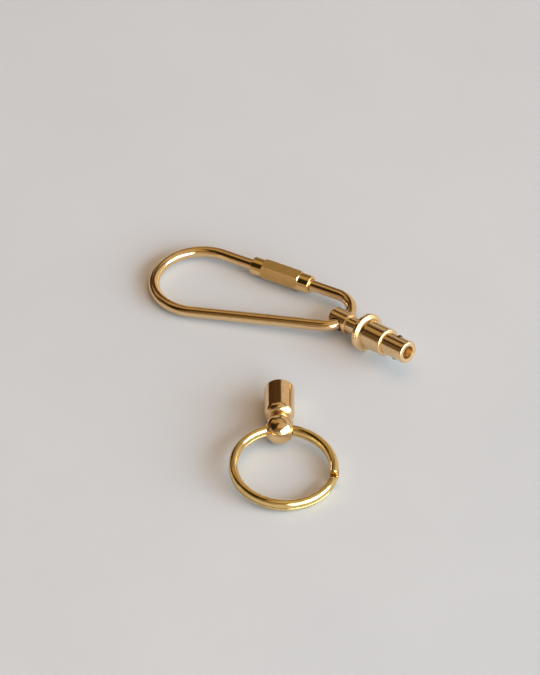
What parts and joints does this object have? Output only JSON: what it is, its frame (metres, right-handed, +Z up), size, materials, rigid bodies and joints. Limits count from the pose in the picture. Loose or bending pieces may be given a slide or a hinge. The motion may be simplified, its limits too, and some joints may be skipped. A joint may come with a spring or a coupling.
{
  "type": "key holder",
  "caption": "Key holder lying uncoupled: a screw-lock wire link with a sprung ball-lock plug on a swinging stem, and a loose socket with a swivel eye and a split ring.",
  "frame": {"origin": "under the middle of both halves as they lie, at bench height", "axes": "+Z up, +Y along the loose half's socket out of its mouth, +X towards the plug"},
  "size_m": [0.0708, 0.1008, 0.0109],
  "materials": {
    "polished_brass": "polished, warm",
    "satin_brass": "satin, drawn along the flats",
    "yellow_brass": "polished, yellower",
    "bright_steel": "bright",
    "dark_steel": "hardened, dark",
    "bronze": "turned bronze"
  },
  "bodies": {
    "link": {"link_wire": "polished_brass"},
    "liner": {"thread_liner": "bright_steel"},
    "sleeve": {"screw_sleeve": "satin_brass"},
    "stem": {"stem_eye": "polished_brass", "lock_spindle": "polished_brass"},
    "spring_seat": {"thrust_washer": "bronze", "release_spring": "bright_steel"},
    "plug": {"plug_body": "polished_brass", "rear_bush": "bronze"},
    "ball_a": {"lock_ball_a": "dark_steel"},
    "ball_b": {"lock_ball_b": "dark_steel"},
    "socket": {"socket_shell": "polished_brass"},
    "eye": {"swivel_eye": "polished_brass", "eye_washer": "bronze", "eye_clip": "bright_steel"},
    "key_ring": {"split_ring": "yellow_brass"}
  },
  "joints": [
    {"name": "sleeve_travel", "type": "slide", "parent": "link", "child": "liner", "axis": [0.8663, -0.4986, 0.0311], "range_m": [-0.008, 0]},
    {"name": "sleeve_turn", "type": "hinge", "parent": "liner", "child": "sleeve", "pos_m": [-0.00703, 0.04246, 0.0029], "axis": [0.8663, -0.4986, 0.0311], "range_deg": [-5761, 0]},
    {"name": "stem_swing", "type": "hinge", "parent": "link", "child": "stem", "pos_m": [0.01662, 0.01915, 0.00346], "axis": [0.7268, 0.686, 0.0341], "range_deg": [-100, 120]},
    {"name": "plug_swivel", "type": "hinge", "parent": "stem", "child": "spring_seat", "pos_m": [0.01662, 0.01915, 0.00346], "axis": [0.6702, -0.7192, 0.1834], "continuous": true},
    {"name": "release_pull", "type": "slide", "parent": "spring_seat", "child": "plug", "axis": [0.6702, -0.7192, 0.1834], "range_m": [-0.002, 0], "stiffness_N_per_m": 300, "springref_m": 0.001, "deforming": ["release_spring"]},
    {"name": "ball_a_slide", "type": "slide", "parent": "plug", "child": "ball_a", "axis": [-0.2455, -0.448, -0.8597], "range_m": [-0.0004, 0]},
    {"name": "ball_b_slide", "type": "slide", "parent": "plug", "child": "ball_b", "axis": [0.2455, 0.4479, 0.8597], "range_m": [-0.0004, 0]},
    {"name": "halves_apart", "type": "slide", "parent": "link", "child": "socket", "axis": [0, -1, 0], "range_m": [0, 0.03]},
    {"name": "eye_swivel", "type": "hinge", "parent": "socket", "child": "eye", "pos_m": [-0.00027, -0.0235, 0.0039], "axis": [0, 1, 0], "continuous": true},
    {"name": "ring_swing", "type": "hinge", "parent": "eye", "child": "key_ring", "pos_m": [-0.00027, -0.0235, 0.0039], "axis": [0.9986, 0, -0.0523], "continuous": true}
  ],
  "couplings": [
    {"joint": "sleeve_turn", "follows": "sleeve_travel", "rad_per_m": 12566},
    {"joint": "ball_a_slide", "follows": "release_pull", "ratio": 0.2},
    {"joint": "ball_b_slide", "follows": "release_pull", "ratio": 0.2}
  ]
}
